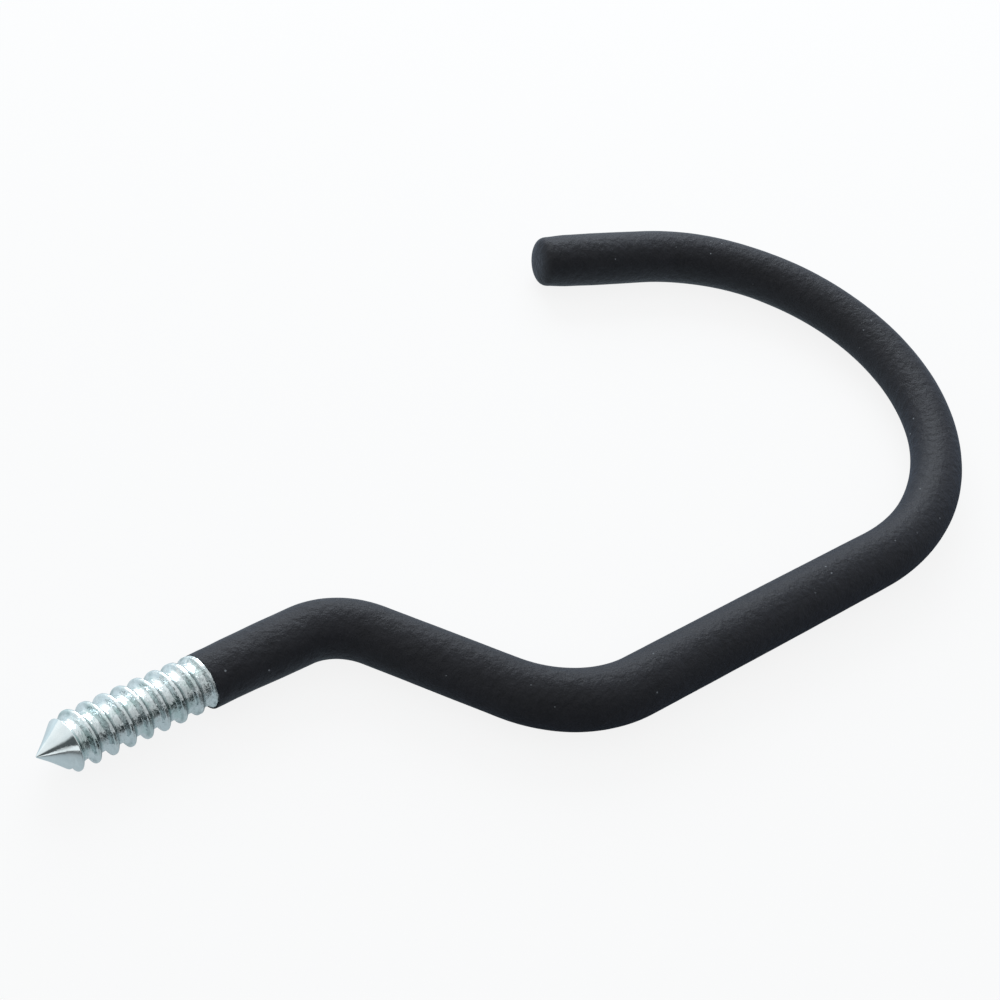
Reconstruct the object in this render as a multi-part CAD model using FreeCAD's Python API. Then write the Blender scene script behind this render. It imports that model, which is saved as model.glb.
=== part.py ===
import FreeCAD, Part
import os
from math import asin, atan2, cos, degrees, pi, radians, sin, tan
from FreeCAD import Placement, Rotation, Vector

# Garage utility hook: a bent steel rod with a lag screw thread, dipped in vinyl from the thread to the far tip.
# It lies flat. The screw runs along X with its point toward -X, the loop lies on the +Y side, and +Z is up.
# Millimetres. Everything is built with the screw's point at the origin and moved to its own frame at the end.

# Rod, along its middle line
rod_r = 3.55
lead_len = 42.0            # screw point to the first bend
jog_angle = 56.0           # the jog's two bends turn by this much, opposite ways
jog_r_screw = 11.2         # bend beside the screw
jog_len = 20.0
jog_r_loop = 20.8          # bend where the jog meets the long run
run_len = 50.5
loop_r = 36.6
loop_angle = 159.5
tip_len = 20.0             # straight end of the loop, to the coat's outer face
rod_end_chamfer = 0.6

# Lag screw thread, 5/16 in across its crests
crest_r = 3.96875
pitch = 2.655
root_r = 3.0
point_half_angle = 39.5
thread_len = 25.5          # screw point to the coat's edge
runout_len = 3.0           # taper from the crest down to the plain rod, under the coat
groove_half = 1.25         # half the width of the groove's bell curve
groove_over = 1.12         # the bell curve rises to this many times the thread's depth
first_groove_x = 2.27      # where the groove's middle line starts, clear of the point
groove_start_deg = 30.0    # and its angle about X, from +Y toward +Z
groove_turns = 8.25
lift_turns = 0.8           # turns over which the groove lifts out of the steel at its end

# Vinyl coat
coat_t = 0.75
edge_t = 0.12              # vinyl over the crest at the open edge
swell_len = 7.0            # length over which the coat reaches its full thickness
end_cover = 1.3            # vinyl beyond the rod's end
end_round = 2.0
end_dome = 0.35

coat_r = rod_r + coat_t
edge_r = crest_r + edge_t
ORIGIN = Vector(0, 0, 0)
EX = Vector(1, 0, 0)
EZ = Vector(0, 0, 1)
WHOLE_TURN = 360
HOOK = [lead_len, (jog_r_screw, -jog_angle), jog_len, (jog_r_loop, jog_angle), run_len, (loop_r, loop_angle),
        tip_len]


def bent_bar(r, skip, short):
    """A round bar along the hook's path, starting skip along the lead and stopping short of the tip's end.
    A leg of the path is a length, or a radius with a signed turn. Returns the solids, the end and its way."""
    p, h, solids = Vector(skip, 0, 0), 0.0, []
    legs = [HOOK[0] - skip] + HOOK[1:-1] + [HOOK[-1] - short]
    for leg in legs:
        way = Vector(cos(h), sin(h), 0)
        if isinstance(leg, tuple):
            side = 1 if leg[1] > 0 else -1
            centre = p + Vector(-sin(h), cos(h), 0) * (side * leg[0])
            disc = Part.Face(Part.Wire(Part.makeCircle(r, p, way)))
            solids.append(disc.revolve(centre, EZ * side, abs(leg[1])))
            h += radians(leg[1])
            p = centre + Vector(sin(h), -cos(h), 0) * (side * leg[0])
        else:
            solids.append(Part.makeCylinder(r, leg, p, way))
            p = p + way * leg
    return solids, p, Vector(cos(h), sin(h), 0)


def turned(points, origin=ORIGIN, way=EX):
    """A solid turned about the line through origin along way. A point is (along, radius); a pair of points is
    the middle and end of an arc."""
    flat = lambda q: Vector(q[0], q[1], 0)
    edges, last = [], flat(points[0])
    for q in points[1:] + points[:1]:
        if isinstance(q[0], tuple):
            edges.append(Part.Arc(last, flat(q[0]), flat(q[1])).toShape())
            last = flat(q[1])
        else:
            edges.append(Part.LineSegment(last, flat(q)).toShape())
            last = flat(q)
    solid = Part.Face(Part.Wire(edges)).revolve(ORIGIN, EX, WHOLE_TURN)
    solid.Placement = Placement(origin, Rotation(EX, way))
    return solid


def joined(solids):
    return solids[0].multiFuse(solids[1:]).removeSplitter().Solids[0]


def groove(length, turned_by, start_x, lift=0.0):
    """The space one stretch of the thread's groove takes up. Its floor rises by lift over its length."""
    depth = (crest_r - root_r) * groove_over
    u = [groove_half * (k / 6 - 1) for k in range(13)]
    floor = [Vector(s, root_r + depth * (1 - cos(pi * s / groove_half)) / 2, 0) for s in u]
    bell = Part.BSplineCurve()
    bell.interpolate(floor)
    top = [Vector(p.x, p.y + 0.5, 0) for p in (floor[0], floor[-1])]
    sides = [Part.LineSegment(floor[-1], top[1]), Part.LineSegment(top[1], top[0]), Part.LineSegment(top[0], floor[0])]
    section = Part.Wire([bell.toShape()] + [s.toShape() for s in sides])
    helix = Part.makeHelix(pitch, length, root_r, degrees(atan2(lift, length)))
    helix.Placement = Placement(ORIGIN, Rotation(Vector(1, 1, 1), 120))
    cutter = Part.Wire(helix.Edges).makePipeShell([section], True, True)
    cutter.rotate(ORIGIN, EX, turned_by)
    cutter.translate(EX * start_x)
    return cutter


# The rod: pointed and threaded end, plain bent bar, chamfered far end
point_len = crest_r / tan(radians(point_half_angle))
plain_x = thread_len + runout_len
screw = turned([(0, 0), (point_len, crest_r), (thread_len, crest_r), (plain_x, rod_r), (plain_x, 0)])
full_len = groove_turns * pitch
lift_len = lift_turns * pitch
lift = (crest_r - root_r) * 1.35
cutter = groove(full_len, 0, first_groove_x)
lifting = groove(lift_len, WHOLE_TURN * groove_turns, first_groove_x + full_len, lift)
screw = screw.cut(cutter.fuse(lifting).removeSplitter())
screw.rotate(ORIGIN, EX, groove_start_deg)
cap_len = 2 * rod_end_chamfer
bar, at, way = bent_bar(rod_r, plain_x, end_cover + cap_len)
cap = turned([(0, 0), (0, rod_r), (cap_len - rod_end_chamfer, rod_r), (cap_len, rod_r - rod_end_chamfer),
              (cap_len, 0)], at, way)
rod = joined(bar + [screw, cap])

# The coat: its outer form with a thin open edge and a rounded far end, less the rod
swell_x = thread_len + swell_len
swell = turned([(thread_len, 0), (thread_len, edge_r),
                ((thread_len + swell_len * 0.4, edge_r + (coat_r - edge_r) * 0.68), (swell_x, coat_r)), (swell_x, 0)])
nose = end_round + end_dome
bar, at, way = bent_bar(coat_r, swell_x, nose)
flat_r = coat_r - end_round
mid = end_round * sin(pi / 4)
dome_r = (flat_r ** 2 + end_dome ** 2) / (2 * end_dome)
half = asin(flat_r / dome_r) / 2
dome = turned([(0, 0), (0, coat_r), ((mid, flat_r + mid), (end_round, flat_r)),
               ((nose - dome_r * (1 - cos(half)), dome_r * sin(half)), (nose, 0))], at, way)
coat = joined(bar + [swell, dome]).cut(rod).Solids[0]

# Own frame: bounding box centred on X and Y, lowest point at Z = 0
box = Part.makeCompound([rod, coat]).optimalBoundingBox(False, False)
shift = Vector(-(box.XMin + box.XMax) / 2, -(box.YMin + box.YMax) / 2, coat_r)
os.makedirs("parts", exist_ok=True)
for name, shape in (("threaded_rod", rod), ("vinyl_coat", coat)):
    shape.translate(shift)
    shape.exportStep("parts/" + name + ".step")
    print(name, shape.isValid(), len(shape.Solids), "volume", round(shape.Volume, 1), "faces", len(shape.Faces))
print("screw point at", [round(c, 3) for c in shift])
print("size", round(box.XLength, 2), round(box.YLength, 2), round(2 * coat_r, 2))
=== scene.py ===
import math

import bpy
from mathutils import Matrix, Vector


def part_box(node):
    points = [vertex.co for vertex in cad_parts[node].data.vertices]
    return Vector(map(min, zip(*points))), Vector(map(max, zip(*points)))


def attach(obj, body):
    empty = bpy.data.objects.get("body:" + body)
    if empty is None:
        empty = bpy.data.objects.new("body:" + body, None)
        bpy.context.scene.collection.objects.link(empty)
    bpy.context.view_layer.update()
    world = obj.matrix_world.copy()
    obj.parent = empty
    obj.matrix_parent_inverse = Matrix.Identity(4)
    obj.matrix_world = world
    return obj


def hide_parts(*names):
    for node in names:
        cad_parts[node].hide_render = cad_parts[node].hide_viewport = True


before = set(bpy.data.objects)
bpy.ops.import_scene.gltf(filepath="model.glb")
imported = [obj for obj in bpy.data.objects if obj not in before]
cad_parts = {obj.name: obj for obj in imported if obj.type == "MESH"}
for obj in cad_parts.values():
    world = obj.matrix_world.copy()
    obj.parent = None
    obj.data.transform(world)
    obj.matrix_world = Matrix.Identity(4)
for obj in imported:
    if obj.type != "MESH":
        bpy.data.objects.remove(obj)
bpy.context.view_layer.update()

# The hook's middle line in millimetres and degrees, as the solids have it
LEAD = 42.0                             # screw point to the first bend
JOG_ANGLE = 56.0                        # the jog's two bends turn by this much, opposite ways
JOG_R_SCREW, JOG_R_LOOP = 11.2, 20.8    # bend beside the screw, and bend where the jog meets the long run
JOG_LEN = 20.0
RUN = 50.5
LOOP_R, LOOP_ANGLE = 36.6, 159.5
TIP = 20.0                              # straight end of the loop, to the coat's outer face
PAST_TIP = 2.0                          # the middle line runs on by this much

# The rod and its thread
ROD_R, CREST_R, ROOT_R, PITCH = 3.55, 3.96875, 3.0, 2.655
POINT_ANGLE = 39.5                      # half the cone's angle
THREAD = 25.5                           # screw point to the coat's edge
RUNOUT = 3.0                            # taper down to the plain rod, under the coat
FIRST_GROOVE, GROOVE_TURN = 2.27, 30.0  # where the groove's line starts, and its angle about the screw
END_COVER, ROD_CHAMFER = 1.3, 0.6       # vinyl beyond the rod's end, and the edge broken there

# What rolling adds to the plain thread
BLUNT_LEN, BLUNT_R = 0.15, 0.1          # the cone's worn point
BLUNT_POINTS = [(0.0, 0.0), (0.0, 0.06), (0.03, 0.13), (0.09, 0.185)]
CONE_SWELL = 0.26                       # the cone bulges by this much toward its base
SWELL_START, SWELL_LEN = 1.4, 2.9
CREST_OVER = 0.15                       # the crests stand this much past their size near the point
CREST_DROP, DROP_START = 0.21, 14.0     # and come down by this much toward the coat

# One pitch of the groove, from the middle of its root: a steep flank on the point's side of the crest, a
# gentle one behind it, and a hollow foot on each side that takes a share of the height
STEEP_START, STEEP_END = 0.34, 0.98
STEEP_FOOT_END, STEEP_FOOT = 0.7, 0.06
GENTLE_START, GENTLE_END = 1.18, 2.06
GENTLE_FOOT_START, GENTLE_FOOT_END, GENTLE_FOOT = 1.5, 2.64, 0.14

# The root rises toward the coat, first a little and then more, and beside the cone, where the groove starts
LIFT_START, RISE_START, EARLY_RISE = 6.0, 17.0, 0.3
CONE_LIFT_START, CONE_LIFT_END = 3.4, 6.2
GROOVE_PAST_EDGE = 0.6                  # the groove goes on under the coat by this much

# The dipped coat
COAT_R = 4.3                            # as the solids have it
BORE_GAP, BORE_END_GAP, MOUTH_GAP = 0.01, 0.02, 0.006
EDGE_ROUND = 0.06                       # length over which the open edge is rounded
SLANT_LEN, DRIP_LEN = 8.0, 6.0          # the open edge's slant and drop fade out over these lengths
LIP_LEN = 6.0
END_SHORT = 0.4                         # the rounded end stops this much short of the middle line's end
NOSE_LEN, NOSE_POWER = 2.2, 2.9         # the rounded end is a superellipse
COAT_KNOTS = [(0, 3.965), (2, 4.0), (6, 4.12), (12, 4.23), (25, 4.30), (43, 4.38), (61, 4.52), (89, 4.55),
              (113, 4.52), (135, 4.28), (153, 4.06), (177, 4.05), (197, 4.16), (215, 4.36), (229, 4.40),
              (234, 4.33), (239.5, 4.02)]

# Distances between the rows of points, and numbers of points
THREAD_ROW, RUNOUT_ROW, ROD_ROW = 0.055, 0.15, 2.2
BORE_ROW, TAPER_ROW, LIP_ROW, COAT_ROW = 2.5, 0.5, 0.25, 0.42
NOSE_ROWS = 34
SIDES_ROUND = {"threaded_steel_rod": 132, "dipped_vinyl_coat": 96}

MM = 0.001
WHOLE_TURN = 2 * math.pi
TURNS_BEFORE = 8                        # whole turns that keep a count of turns above zero
UP = (0.0, 0.0, 1.0)
WHITE = (1, 1, 1, 1)
BEND, LOOP_TURN = math.radians(JOG_ANGLE), math.radians(LOOP_ANGLE)
LENGTH = LEAD + JOG_R_SCREW * BEND + JOG_LEN + JOG_R_LOOP * BEND + RUN + LOOP_R * LOOP_TURN + TIP

# The screw's point in the shared frame. The coat's lowest side in Y is that of the long run.
STEP_ASIDE = (JOG_R_SCREW + JOG_R_LOOP) * (1 - math.cos(BEND)) + JOG_LEN * math.sin(BEND)
ROD_LOW, COAT_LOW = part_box("threaded_rod")[0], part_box("vinyl_coat")[0]
SCREW_POINT = Vector((ROD_LOW.x, COAT_LOW.y + (COAT_R + STEP_ASIDE) * MM, COAT_R * MM))

# The shape tree's inputs, in metres and radians, with the values that both pieces share
TREE_SIZES = {
    "Start X": SCREW_POINT.x, "Start Y": SCREW_POINT.y, "Start Z": SCREW_POINT.z, "Step": 0.2 * MM,
    "Lead": LEAD * MM, "Jog Angle": BEND, "Jog Radius Screw": JOG_R_SCREW * MM, "Jog Length": JOG_LEN * MM,
    "Jog Radius Loop": JOG_R_LOOP * MM, "Run": RUN * MM, "Loop Radius": LOOP_R * MM,
    "Loop Angle": LOOP_TURN, "Tip": (TIP + PAST_TIP) * MM,
    "Pitch": PITCH * MM, "Root Radius": ROOT_R * MM, "First Groove": FIRST_GROOVE * MM,
    "Groove Turn": math.radians(GROOVE_TURN), "Rise Start": RISE_START * MM, "Lip Start": THREAD * MM,
    "Groove Depth": 0.0, "Groove Soft": 0.0, "Groove Wander": 0.0, "Lift": 0.0, "Start Lift": 0.0,
    "Unevenness": 0.0, "Uneven Size": 0.0, "Ripple": 0.0, "Ripple Size": 0.0,
    "Lip Drip": 0.0, "Lip Turn": 0.0, "Lip Tilt": 0.0, "Tilt Turn": 0.0, "Bore Radius": 0.0, "Seed": 0.0,
}
ROLLED_THREAD = {
    "Groove Depth": (CREST_R + 0.09 - ROOT_R) * MM, "Groove Soft": 0.05 * MM, "Groove Wander": 0.12 * MM,
    "Lift": 0.42 * MM, "Start Lift": 0.32 * MM, "Unevenness": 0.03 * MM, "Uneven Size": 500.0,
    "Ripple": 0.02 * MM, "Ripple Size": 1400.0, "Seed": 3.0,
}
DIPPED_COAT = {
    "Unevenness": 0.06 * MM, "Uneven Size": 160.0, "Ripple": 0.022 * MM, "Ripple Size": 520.0,
    "Lip Drip": 0.22 * MM, "Lip Turn": math.radians(215.0),
    "Lip Tilt": 0.0906, "Tilt Turn": math.radians(46.8),
    "Bore Radius": (CREST_R - 0.025) * MM, "Seed": 11.0,
}


def is_vector(value):
    return isinstance(value, Wire) and value.socket.type == "VECTOR"


def both_ways(op):
    """An operator's method and its reflected one."""
    def forward(self, other):
        return self.maths(op, self, other)

    def reflected(self, other):
        return self.maths(op, other, self)

    return forward, reflected


class Wire:
    """One socket of a node tree. Expressions on wires add the Math or Vector Math nodes they need."""

    def __init__(self, board, socket):
        self.board, self.socket = board, socket

    def __getitem__(self, name):
        return Wire(self.board, self.socket.node.outputs[name])

    def maths(self, op, a, b=None, c=None):
        """The result of one operation. A vector times a number is scaled by it."""
        vector = is_vector(a) or is_vector(b)
        if vector and op == "MULTIPLY":
            along, size = (a, b) if is_vector(a) else (b, a)
            return self.board.add("ShaderNodeVectorMath", {"operation": "SCALE"}, {0: along, "Scale": size})
        kind = "ShaderNodeVectorMath" if vector else "ShaderNodeMath"
        values = {k: v for k, v in enumerate((a, b, c)) if v is not None}
        return self.board.add(kind, {"operation": op}, values)

    __add__, __radd__ = both_ways("ADD")
    __sub__, __rsub__ = both_ways("SUBTRACT")
    __mul__, __rmul__ = both_ways("MULTIPLY")
    __truediv__, __rtruediv__ = both_ways("DIVIDE")
    __lt__, __gt__ = both_ways("LESS_THAN")

    def least(self, other):
        return self.maths("MINIMUM", self, other)

    def most(self, other):
        return self.maths("MAXIMUM", self, other)

    def soft_least(self, other, reach):
        return self.maths("SMOOTH_MIN", self, other, reach)

    def cos(self):
        return self.maths("COSINE", self)

    def sin(self):
        return self.maths("SINE", self)

    def angle_from(self, across):
        """The angle of a point that lies this high and this far across."""
        return self.maths("ARCTAN2", self, across)

    def part(self):
        """What is left above the whole number below."""
        return self.maths("FRACT", self)

    def rounded(self):
        return self.maths("ROUND", self)

    def rounded_up(self):
        return self.maths("CEIL", self)

    def span(self, start, end, low=0.0, high=1.0, ease="LINEAR"):
        """low before start and high after end, with a ramp between them."""
        return self.board.add("ShaderNodeMapRange", {"interpolation_type": ease}, {
            "Value": self, "From Min": start, "From Max": end, "To Min": low, "To Max": high})

    def soft_span(self, start, end, low=0.0, high=1.0):
        """A span whose ramp starts and ends gently."""
        return self.span(start, end, low, high, "SMOOTHSTEP")


class Board:
    """The node tree of a shape, a material or the light all round."""

    def __init__(self, tree):
        self.tree = tree

    def add(self, kind, settings=None, values=None, out=0):
        """Adds a node of this kind, sets its settings, then gives its sockets their values or links."""
        node = self.tree.nodes.new(kind)
        for name, value in (settings or {}).items():
            setattr(node, name, value)
        for name, value in (values or {}).items():
            if isinstance(value, Wire):
                self.tree.links.new(value.socket, node.inputs[name])
            else:
                node.inputs[name].default_value = value
        return Wire(self, node.outputs[out]) if len(node.outputs) else None

    def blend(self, amount, a, b):
        """A colour between a and b."""
        return self.add("ShaderNodeMix", {"data_type": "RGBA"}, {0: amount, 6: a, 7: b}, out=2)

    def tinted(self, level, red, green, blue):
        """A colour of this tint that gets lighter with level."""
        return self.add("ShaderNodeCombineColor", {}, {0: level * red, 1: level * green, 2: level * blue})

    def vector(self, x=0.0, y=0.0, z=0.0):
        return self.add("ShaderNodeCombineXYZ", {}, {"X": x, "Y": y, "Z": z})

    def noise(self, place, scale, detail, rough):
        return self.add("ShaderNodeTexNoise", {"noise_dimensions": "3D"},
                        {"Vector": place, "Scale": scale, "Detail": detail, "Roughness": rough})

    def drifting_noise(self, place, scale, drift):
        """Noise with a fourth coordinate, which is a seed or changes along the screw."""
        return self.add("ShaderNodeTexNoise", {"noise_dimensions": "4D"},
                        {"Vector": place, "Scale": scale, "Detail": 2.0, "Roughness": 0.5, "W": drift})


def hook_line(b, g):
    """The rod's middle line: small steps, each turned by the bends passed so far."""
    legs = [g["Jog Radius Screw"] * g["Jog Angle"], g["Jog Length"], g["Jog Radius Loop"] * g["Jog Angle"],
            g["Run"], g["Loop Radius"] * g["Loop Angle"], g["Tip"]]
    ends = [g["Lead"]]
    for leg in legs:
        ends.append(ends[-1] + leg)
    lead_end, first_bend_end, jog_end, second_bend_end, run_end, loop_end, line_end = ends
    index = b.add("GeometryNodeInputIndex")
    middle = (index - 0.5) * g["Step"]
    heading = (middle.span(jog_end, second_bend_end, 0.0, g["Jog Angle"])
               - middle.span(lead_end, first_bend_end, 0.0, g["Jog Angle"])
               + middle.span(run_end, loop_end, 0.0, g["Loop Angle"]))
    stride = g["Step"] * index.least(1.0)
    step = b.vector(heading.cos() * stride, heading.sin() * stride)
    walked = b.add("GeometryNodeAccumulateField", {"data_type": "FLOAT_VECTOR", "domain": "POINT"}, {0: step})
    place = walked["Leading"] + b.vector(g["Start X"], g["Start Y"], g["Start Z"])
    count = (line_end / g["Step"]).rounded_up() + 2.0
    line = b.add("GeometryNodeMeshLine", {"mode": "OFFSET"}, {"Count": count, "Offset": (0.0, 0.0, 0.0)})
    line = b.add("GeometryNodeSetPosition", {}, {"Geometry": line, "Position": place})
    return b.add("GeometryNodeMeshToCurve", {}, {"Mesh": line})


def screw_groove(b, g, along, angle, radius, beside):
    """The radius once the groove is cut, and how deep the groove is there, from 0 to 1."""
    wander = b.drifting_noise(beside, 260.0, g["Seed"]) - 0.5
    turned = (angle - g["Groove Turn"]) / WHOLE_TURN
    travel = along + wander * g["Groove Wander"] - g["First Groove"]
    past = (travel / g["Pitch"] - turned + TURNS_BEFORE).part() * g["Pitch"]
    steep = (past.soft_span(STEEP_START * MM, STEEP_END * MM, 0.0, 1 - STEEP_FOOT)
             + past.span(0.0, STEEP_FOOT_END * MM, 0.0, STEEP_FOOT))
    gentle = (past.soft_span(GENTLE_START * MM, GENTLE_END * MM, 1 - GENTLE_FOOT, 0.0)
              + past.soft_span(GENTLE_FOOT_START * MM, GENTLE_FOOT_END * MM, GENTLE_FOOT, 0.0))
    lift = (g["Lift"] * (along.span(LIFT_START * MM, g["Rise Start"], 0.0, EARLY_RISE)
                         + along.span(g["Rise Start"], g["Lip Start"], 0.0, 1 - EARLY_RISE))
            + g["Start Lift"] * along.span(CONE_LIFT_START * MM, CONE_LIFT_END * MM, 1.0, 0.0))
    floor = g["Root Radius"] + lift + (g["Groove Depth"] - lift) * (steep * gentle)
    cut = radius.soft_least(floor, g["Groove Soft"])
    has_groove = (g["Groove Depth"] > 0.0) * (along < g["Lip Start"] + GROOVE_PAST_EDGE * MM)
    never_zero = 0.001 * MM
    how_deep = (radius - cut) / (g["Groove Depth"] + never_zero) * has_groove
    return radius + (cut - radius) * has_groove, how_deep


def lathe_tree():
    """A closed skin turned round the hook's middle line. The object's vertices are its profile: X is the
    length along the middle line and Y the radius there. A screw groove is cut if the inputs ask for one."""
    tree = bpy.data.node_groups.new("turned_along_hook", "GeometryNodeTree")
    face = tree.interface
    kinds = {"Geometry": "Geometry", "Material": "Material", "Around": "Int"}
    for name, kind in {**kinds, **{name: "Float" for name in TREE_SIZES}}.items():
        face.new_socket(name, in_out="INPUT", socket_type="NodeSocket" + kind)
    face.new_socket("Geometry", in_out="OUTPUT", socket_type="NodeSocketGeometry")
    b = Board(tree)
    given = b.add("NodeGroupInput")
    g = {name: given[name] for name in TREE_SIZES}
    profile, around = given["Geometry"], given["Around"]

    # A grid whose rows are the profile's points and whose columns go round
    size = b.add("GeometryNodeAttributeDomainSize", {"component": "MESH"}, {"Geometry": profile})
    rows = size["Point Count"]
    grid = b.add("GeometryNodeMeshGrid", {}, {"Size X": rows - 1.0, "Size Y": around, "Vertices X": rows,
                                              "Vertices Y": around + 1.0})
    place = b.add("GeometryNodeInputPosition")
    split = b.add("ShaderNodeSeparateXYZ", {}, {0: place})
    row = (split["X"] + (rows - 1.0) / 2.0).rounded()
    angle = (split["Y"] / around + 0.5) * WHOLE_TURN
    sample = b.add("GeometryNodeSampleIndex", {"data_type": "FLOAT_VECTOR", "domain": "POINT"},
                   {"Geometry": profile, "Value": place, "Index": row})
    at = b.add("ShaderNodeSeparateXYZ", {}, {0: sample})
    radius = at["Y"]

    # Where each row lies on the middle line. The coat's open edge is cut at a slant.
    slant = at["X"].soft_span(g["Lip Start"], g["Lip Start"] + SLANT_LEN * MM, 1.0, 0.0)
    along = at["X"] - g["Lip Tilt"] * radius * (angle - g["Tilt Turn"]).cos() * slant
    on_path = b.add("GeometryNodeSampleCurve", {"mode": "LENGTH", "data_type": "FLOAT"},
                    {"Curves": hook_line(b, g), "Length": along})
    side = b.add("ShaderNodeVectorMath", {"operation": "CROSS_PRODUCT"}, {0: UP, 1: on_path["Tangent"]})
    across = b.add("ShaderNodeVectorMath", {"operation": "NORMALIZE"}, {0: side})
    outward = across * angle.cos() + b.vector(z=angle.sin())
    middle_line = on_path["Position"]
    beside = middle_line + outward * (4 * MM)
    turned_radius, how_deep = screw_groove(b, g, along, angle, radius, beside)

    # The small unevenness of rod and coat, and the drop that ran to the coat's edge as it dried
    spot = middle_line + outward * radius
    slow = b.drifting_noise(spot, g["Uneven Size"], g["Seed"]) - 0.5
    fast = b.drifting_noise(spot, g["Ripple Size"], g["Seed"] + 7.0) - 0.5
    outer = radius.span(0.0, g["Root Radius"] * 0.5)
    near_edge = along.soft_span(g["Lip Start"], g["Lip Start"] + DRIP_LEN * MM, 1.0, 0.0)
    one_side = 0.5 + 0.5 * (angle - g["Lip Turn"]).cos()
    drip = g["Lip Drip"] * one_side * near_edge * (radius > g["Bore Radius"])
    full = turned_radius + (slow * g["Unevenness"] + fast * g["Ripple"]) * outer + drip

    skin = b.add("GeometryNodeStoreNamedAttribute", {"data_type": "FLOAT", "domain": "POINT"},
                 {"Geometry": grid["Mesh"], "Name": "groove_depth", "Value": how_deep})
    skin = b.add("GeometryNodeSetPosition", {}, {"Geometry": skin, "Position": middle_line + outward * full})
    skin = b.add("GeometryNodeMergeByDistance", {}, {"Geometry": skin, "Distance": 0.0015 * MM})
    skin = b.add("GeometryNodeSetShadeSmooth", {}, {"Geometry": skin, "Shade Smooth": True})
    skin = b.add("GeometryNodeRealizeInstances", {}, {"Geometry": skin})
    skin = b.add("GeometryNodeSetMaterial", {}, {"Geometry": skin, "Material": given["Material"]})
    b.add("NodeGroupOutput", {}, {0: skin})
    return tree


def turned_piece(name, profile, material, tree, sizes):
    """A finished mesh made by the tree from a profile of (length, radius) points in millimetres."""
    points = [(s * MM, r * MM, 0) for s, r in profile]
    mesh = bpy.data.meshes.new(name + "_profile")
    mesh.from_pydata(points, [(k, k + 1) for k in range(len(points) - 1)], [])
    helper = bpy.data.objects.new(name + "_profile", mesh)
    bpy.context.scene.collection.objects.link(helper)
    modifier = helper.modifiers.new("turned", "NODES")
    modifier.node_group = tree
    values = {**TREE_SIZES, **sizes, "Material": material, "Around": SIDES_ROUND[name]}
    for item in tree.interface.items_tree:
        if item.in_out == "INPUT" and item.name in values:
            modifier[item.identifier] = values[item.name]
    helper.update_tag()
    bpy.context.view_layer.update()
    finished = helper.evaluated_get(bpy.context.evaluated_depsgraph_get())
    result = bpy.data.meshes.new_from_object(finished)
    helper.modifiers.remove(modifier)
    bpy.data.objects.remove(helper)
    result.name = name
    point_outwards(result)
    piece = bpy.data.objects.new(name, result)
    bpy.context.scene.collection.objects.link(piece)
    return piece


def point_outwards(mesh):
    """Turns a closed mesh's faces round if its volume comes out negative."""
    mesh.calc_loop_triangles()
    volume = 0.0
    for t in mesh.loop_triangles:
        a, b, c = (mesh.vertices[k].co for k in t.vertices)
        volume += a.dot(b.cross(c))
    if volume < 0:
        mesh.flip_normals()


def stretch(start, end, spacing):
    """Evenly spaced lengths from start up to end, without end itself."""
    n = max(1, math.ceil(abs(end - start) / spacing))
    return [start + (end - start) * k / n for k in range(n)]


def eased(t):
    """A smooth step from 0 to 1 while t goes from 0 to 1."""
    t = min(1, max(0, t))
    return t * t * (3 - 2 * t)


def crest_radius(s):
    """The screw's crests stand highest near its point and come down to the coat's edge."""
    come_down = min(1, max(0, (s - DROP_START) / (THREAD - DROP_START)))
    return CREST_R + CREST_OVER - CREST_DROP * come_down ** 1.5


def screw_profile():
    """The rod from its blunt point to its far end."""
    slope = math.tan(math.radians(POINT_ANGLE))
    cone = lambda s: BLUNT_R + s * slope + CONE_SWELL * eased((s - SWELL_START) / SWELL_LEN)
    shoulder = (CREST_R + CREST_OVER - BLUNT_R - CONE_SWELL) / slope
    edge = crest_radius(THREAD)
    runout = lambda s: edge + (ROD_R - edge) * (s - THREAD) / RUNOUT
    end = LENGTH - END_COVER
    points = BLUNT_POINTS + [(s, cone(s)) for s in stretch(BLUNT_LEN, shoulder, THREAD_ROW)]
    points += [(s, crest_radius(s)) for s in stretch(shoulder, THREAD, THREAD_ROW)]
    points += [(s, runout(s)) for s in stretch(THREAD, THREAD + RUNOUT, RUNOUT_ROW)]
    points += [(s, ROD_R) for s in stretch(THREAD + RUNOUT, end - ROD_CHAMFER, ROD_ROW)]
    return points + [(end - ROD_CHAMFER, ROD_R), (end, ROD_R - ROD_CHAMFER), (end, 0.0)]


def coat_radius(s):
    """The coat's outer radius: thin at the open edge, then a dipped coat's slow swell and thinning."""
    d = s - THREAD
    for (a, radius_a), (b, radius_b) in zip(COAT_KNOTS, COAT_KNOTS[1:]):
        if d <= b:
            return radius_a + (radius_b - radius_a) * eased((d - a) / (b - a))
    return COAT_KNOTS[-1][1]


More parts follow.
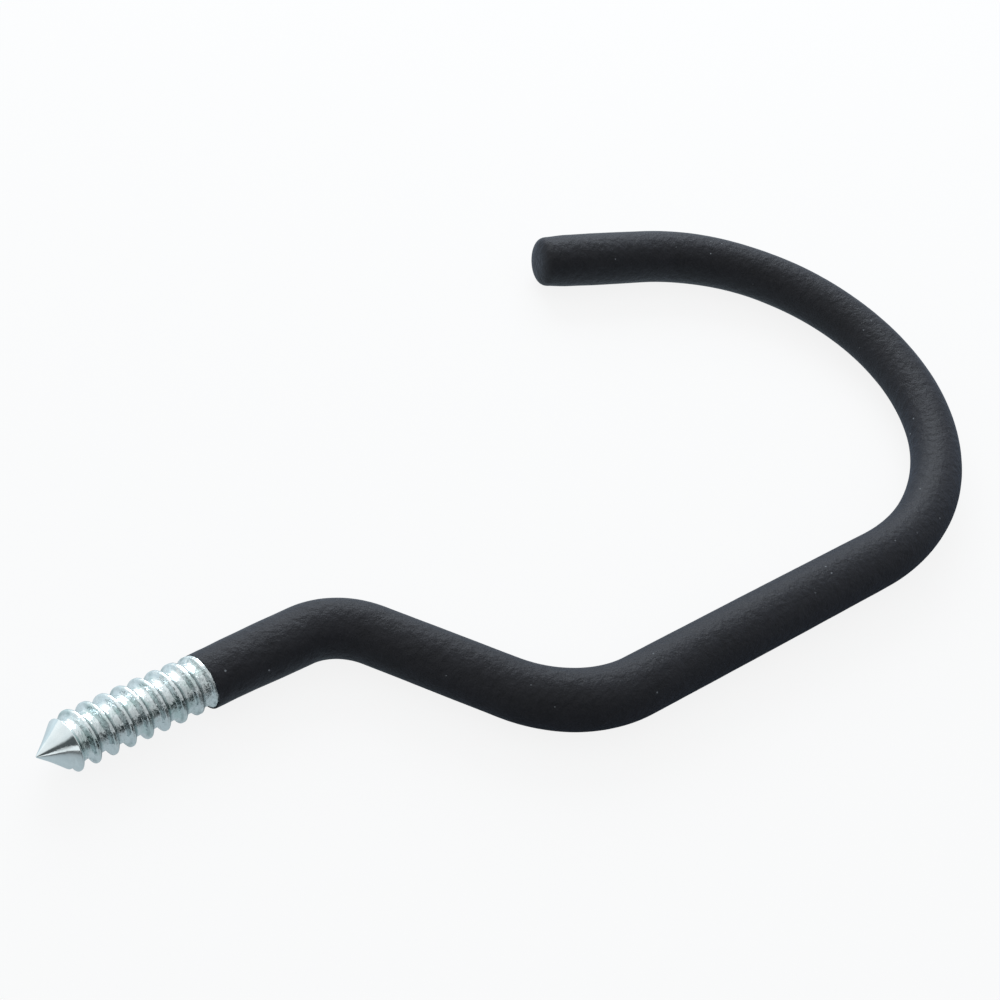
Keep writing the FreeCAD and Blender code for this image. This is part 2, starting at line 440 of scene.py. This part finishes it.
def coat_profile():
    """The coat's skin, from the middle of its inner end, back along the bore, round the open edge and out to
    the middle of its closed end."""
    end = LENGTH - END_COVER
    bore, mouth, lip = ROD_R + BORE_GAP, crest_radius(THREAD) + MOUTH_GAP, coat_radius(THREAD)
    taper = lambda s: mouth + (ROD_R - mouth) * (s - THREAD) / RUNOUT
    open_edge = [(0.05, mouth), (0.0, mouth + 0.004), (0.0, lip - 0.01), (0.02, lip - 0.003),
                 (EDGE_ROUND, lip)]
    shoulder = LENGTH - END_SHORT - NOSE_LEN
    points = [(end + BORE_END_GAP, 0.0), (end + BORE_END_GAP, bore - ROD_CHAMFER), (end - ROD_CHAMFER, bore)]
    points += [(s, bore) for s in stretch(end - ROD_CHAMFER - 1, THREAD + RUNOUT, BORE_ROW)]
    points += [(s, taper(s)) for s in stretch(THREAD + RUNOUT, THREAD + EDGE_ROUND, TAPER_ROW)]
    points += [(THREAD + s, r) for s, r in open_edge]
    points += [(s, coat_radius(s)) for s in stretch(THREAD + 0.15, THREAD + LIP_LEN, LIP_ROW)]
    points += [(s, coat_radius(s)) for s in stretch(THREAD + LIP_LEN, shoulder, COAT_ROW)]
    for k in range(NOSE_ROWS):
        a = math.pi / 2 * k / NOSE_ROWS
        points.append((shoulder + NOSE_LEN * math.sin(a) ** (2 / NOSE_POWER),
                       coat_radius(shoulder) * math.cos(a) ** (2 / NOSE_POWER)))
    return points + [(LENGTH - END_SHORT, 0.0)]


def plain_material(name):
    material = bpy.data.materials.new(name)
    material.use_nodes = True
    material.node_tree.nodes.clear()
    return material, Board(material.node_tree)


def surface(b, height, deepest, **sockets):
    """The material's shader, with a bump that is deepest metres deep where its height is 1."""
    normal = b.add("ShaderNodeBump", {}, {"Height": height, "Strength": 1.0, "Distance": deepest})
    values = {name.replace("_", " "): value for name, value in sockets.items()}
    shader = b.add("ShaderNodeBsdfPrincipled", {}, {**values, "Normal": normal})
    b.add("ShaderNodeOutputMaterial", {}, {"Surface": shader})


def dipped_vinyl():
    """Matt black vinyl with a faint orange peel, a fine grain and a few pale specks of dust."""
    deep_black, worn_black = (0.0122, 0.0121, 0.0138, 1), (0.0222, 0.0222, 0.0262, 1)
    dust, sheen_blue = (0.35, 0.37, 0.40, 1), (0.35, 0.55, 1.0, 1)
    material, b = plain_material("dipped_black_vinyl")
    place = b.add("ShaderNodeTexCoord")["Object"]
    peel = b.noise(place, 900.0, 2.0, 0.55)
    grain = b.noise(place, 4200.0, 3.0, 0.6)
    cloud = b.noise(place, 160.0, 3.0, 0.6)

    # One speck at most in each cell, and only in some cells, each with its own size and strength
    cell = b.add("ShaderNodeTexVoronoi", {"feature": "F1"},
                 {"Vector": place, "Scale": 620.0, "Randomness": 1.0})
    pick = b.add("ShaderNodeSeparateColor", {}, {0: cell["Color"]})
    ragged = b.noise(place, 9000.0, 1.0, 0.5)
    speck = (cell["Distance"] < 0.035 + pick["Green"] * 0.14 * ragged) * (pick["Red"] > 0.70)

    mottle = cloud.span(0.35, 0.65) * 0.35 + grain.span(0.30, 0.70) * 0.35 + peel.span(0.35, 0.65) * 0.3
    colour = b.blend(speck * (0.2 + 0.5 * pick["Blue"]), b.blend(mottle, deep_black, worn_black), dust)
    rough = 0.46 + 0.10 * cloud + 0.10 * (grain - 0.5) + speck * 0.2
    surface(b, peel * 0.8 + grain * 0.26, 0.3 * MM, Base_Color=colour, Roughness=rough,
            Specular_IOR_Level=0.21, Sheen_Weight=0.07, Sheen_Roughness=0.5, Sheen_Tint=sheen_blue)
    return material


def bright_zinc():
    """Bright zinc plate on a rolled thread: cool white metal with two dark lines of painted shade along the
    groove, one behind each crest and one on the steep flank, and scuffed near the coat."""
    plate_grey, plate_white = (0.83, 0.905, 0.915, 1), (0.93, 0.985, 0.985, 1)
    # Two of these greys are painted shade: the darkest for the line behind each crest, the next for the line
    # on the steep flank. The last grey is that of scuffs.
    plate_green, crest_shade_dark = (0.60, 0.76, 0.73, 1), (0.16, 0.19, 0.20, 1)
    flank_shade_dark, scuff_dark = (0.30, 0.35, 0.36, 1), (0.26, 0.31, 0.32, 1)
    material, b = plain_material("bright_zinc_plate")
    place = b.add("ShaderNodeTexCoord")["Object"]

    # Where a point is on the screw: millimetres from its point, the way out from its middle in units of 4 mm,
    # and the share of a pitch past the groove's root
    spot = b.add("ShaderNodeSeparateXYZ", {}, {0: place})
    along = (spot["X"] - SCREW_POINT.x) * 1000.0
    out_y, out_z = (spot["Y"] - SCREW_POINT.y) * 250.0, (spot["Z"] - SCREW_POINT.z) * 250.0
    turn = out_z.angle_from(out_y) / WHOLE_TURN
    past = ((along - FIRST_GROOVE) / PITCH - turn + (GROOVE_TURN / 360 + TURNS_BEFORE)).part()
    depth = b.add("ShaderNodeAttribute", {"attribute_name": "groove_depth"})["Fac"]
    threaded = along.span(4.5, 5.3)
    scuffed = along.span(20.0, 25.0)

    # Marks of rolling run round the screw and change along it
    cloud = b.noise(place, 700.0, 3.0, 0.6)
    tint = b.noise(place, 420.0, 2.0, 0.5)
    marks = b.noise(place, 1900.0, 3.0, 0.55)
    lines = b.drifting_noise(b.vector(past * 18.0, out_y * 3.0, out_z * 3.0), 1.0, along * 0.9)
    dinged = b.drifting_noise(b.vector(past * 5.0, out_y * 5.0, out_z * 5.0), 1.0, along * 0.7)

    # Painted shade along the groove: a crisp dark line where each crest hides the flank behind it, fading
    # over that flank, and a thin dark line on the steep flank just before the crest, both wavering with the
    # dings.
    wavy = past + 0.10 * (dinged - 0.5)
    shade_behind_crest = wavy.span(0.63, 0.60) * 0.6 + wavy.span(0.84, 0.68) * 0.4
    painted_crest_shade = wavy.span(0.46, 0.50) * shade_behind_crest * threaded
    painted_flank_shade = wavy.span(0.21, 0.25) * wavy.span(0.33, 0.28) * threaded
    metal = b.blend(cloud.span(0.3, 0.7), plate_grey, plate_white)
    metal = b.blend(tint.span(0.50, 0.66) * threaded * 0.6, metal, plate_green)
    # The painted shade of those two lines darkens the plate.
    metal = b.blend(painted_crest_shade * (0.5 + 0.7 * lines).least(1.0), metal, crest_shade_dark)
    metal = b.blend(painted_flank_shade * tint.span(0.35, 0.65) * 0.45, metal, flank_shade_dark)
    metal = b.blend(scuffed * marks.span(0.52, 0.62) * 0.5, metal, scuff_dark)
    rough = (0.06 + threaded * 0.06 + 0.06 * cloud.span(0.3, 0.7) + depth.span(0.3, 1.0) * 0.03
             + scuffed * marks.span(0.4, 0.7) * 0.18)
    height = (lines * 0.07 + dinged * 0.26 + cloud * 0.03) * threaded + marks * (0.006 + scuffed * 0.14)
    surface(b, height, 0.65 * MM, Base_Color=metal, Metallic=1.0, Roughness=rough)
    return material


def pale_floor():
    """A plain pale floor that keeps the hook's shadow. Polished metal sees it dimmer toward the camera and
    tinted cyan, a painted shade that only reflections show.
    """
    half, below = 3.0, 0.4 * MM
    corners = [(x * half, y * half, -below) for x, y in ((-1, -1), (1, -1), (1, 1), (-1, 1))]
    mesh = bpy.data.meshes.new("floor")
    mesh.from_pydata(corners, [], [(0, 1, 2, 3)])
    floor = bpy.data.objects.new("floor", mesh)
    bpy.context.scene.collection.objects.link(floor)
    material, b = plain_material("pale_floor")
    ray = b.add("ShaderNodeLightPath")
    back = b.add("ShaderNodeSeparateXYZ", {}, {0: b.add("ShaderNodeTexCoord")["Object"]})["Y"]
    # Painted shade and tint for reflections only: glossy rays see the floor dim and cyan in front of the
    # hook, and brighter behind it.
    level = back.span(-39 * MM, -12 * MM, 0.03, 0.5) + back.span(-10 * MM, 20 * MM, 0.0, 0.3)
    glossy_floor_shade = b.blend(ray["Is Glossy Ray"], WHITE, b.tinted(level, 0.90, 1.05, 1.13))
    matt = b.add("ShaderNodeBsdfDiffuse", {}, {"Color": (0.62, 0.63, 0.64, 1)})
    white = b.add("ShaderNodeEmission", {}, {"Color": glossy_floor_shade, "Strength": 1.03})
    seen = ray["Is Camera Ray"] * 0.84 + ray["Is Glossy Ray"] * 0.75
    mixed = b.add("ShaderNodeMixShader", {}, {0: seen, 1: matt, 2: white})
    b.add("ShaderNodeOutputMaterial", {}, {"Surface": mixed})
    mesh.materials.append(material)


def soft_tent():
    """White cloth overhead and all round, with a dark stretch of room low down on the camera's side."""
    room_dark = (0.012, 0.020, 0.022, 1)
    world = bpy.data.worlds.new("studio")
    bpy.context.scene.world = world
    world.use_nodes = True
    world.node_tree.nodes.clear()
    b = Board(world.node_tree)
    ray = b.add("ShaderNodeLightPath")

    # A way of unit length from the hook: side is along +X, depth along +Y and height up
    way = b.add("ShaderNodeSeparateXYZ", {}, {0: b.add("ShaderNodeTexCoord")["Generated"]})
    side, depth, height = way["X"], way["Y"], way["Z"]
    left = side.span(-0.45, -0.7)
    above_floor = (height - left * 0.22).span(-0.01, 0.02)
    below_cloth = (height - left * 0.2).span(0.30, 0.52, 1.0, 0.0)
    room = above_floor * below_cloth * depth.span(-0.02, -0.16) * side.span(0.48, 0.72, 1.0, 0.0)

    overhead = height.span(0.0, 0.75, 0.72, 0.91)
    back_wall = (depth + side * 0.4).span(0.1, 0.8) * height.span(0.8, 0.1) * 0.3
    away = depth.span(-0.6, 0.2, 0.54, 1.0).most(side.span(0.55, 0.72, 0.0, 0.95))
    tent = (overhead + back_wall) * away * side.span(0.5, 0.76, 1.0, 0.66)
    tent = tent.most(left * depth.span(-0.3, -0.5) * 0.9)
    light = b.blend(room * (1.0 - left * 0.12), b.tinted(tent, 0.96, 1.0, 1.02), room_dark)
    soft = b.add("ShaderNodeBackground", {}, {"Color": light, "Strength": 1.0})
    white = b.add("ShaderNodeBackground", {}, {"Color": WHITE, "Strength": 1.0})
    shown = b.add("ShaderNodeMixShader", {}, {0: ray["Is Camera Ray"], 1: soft, 2: white})
    b.add("ShaderNodeOutputWorld", {}, {"Surface": shown})


def back_softbox():
    """A soft lamp behind the hook, to the right, sized and placed in metres."""
    place, aim = Vector((0.22, 0.34, 0.26)), Vector((0.06, 0.0, 0.0))
    data = bpy.data.lights.new("back_softbox", "AREA")
    data.shape = "RECTANGLE"
    data.size, data.size_y = 0.42, 0.26
    data.energy = 1.6
    data.color = (0.86, 0.93, 1.0)
    light = bpy.data.objects.new("back_softbox", data)
    light.location = place
    light.rotation_mode = "QUATERNION"
    light.rotation_quaternion = (aim - place).to_track_quat("-Z", "Y")
    bpy.context.scene.collection.objects.link(light)


def photo_camera():
    """The photograph's own viewpoint, with a shorter lens so that the whole hook is in the frame."""
    from_screw_point = Vector((-105.41, -140.92, 239.83)) * MM
    right, down = Vector((0.7582, -0.6135, 0.2210)), Vector((-0.3369, -0.6588, -0.6727))
    photo_lens, shorter, sensor = 3.135, 0.72, 36.0
    data = bpy.data.cameras.new("photo_view")
    data.sensor_width = sensor
    data.lens = sensor * photo_lens * shorter
    data.clip_start, data.clip_end = 0.01, 10.0
    camera = bpy.data.objects.new("photo_view", data)
    turn = Matrix((right, -down, -right.cross(down))).transposed().to_4x4()
    camera.matrix_world = Matrix.Translation(SCREW_POINT + from_screw_point) @ turn
    bpy.context.scene.collection.objects.link(camera)
    bpy.context.scene.camera = camera


tree = lathe_tree()
vinyl, zinc = dipped_vinyl(), bright_zinc()
screw = turned_piece("threaded_steel_rod", screw_profile(), zinc, tree, ROLLED_THREAD)
coat = turned_piece("dipped_vinyl_coat", coat_profile(), vinyl, tree, DIPPED_COAT)
for piece, node, slot in ((screw, "threaded_rod", "zinc_steel"), (coat, "vinyl_coat", "vinyl")):
    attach(piece, "root")
    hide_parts(node)

pale_floor()
soft_tent()
back_softbox()
photo_camera()
bpy.context.scene.view_settings.view_transform = "Standard"
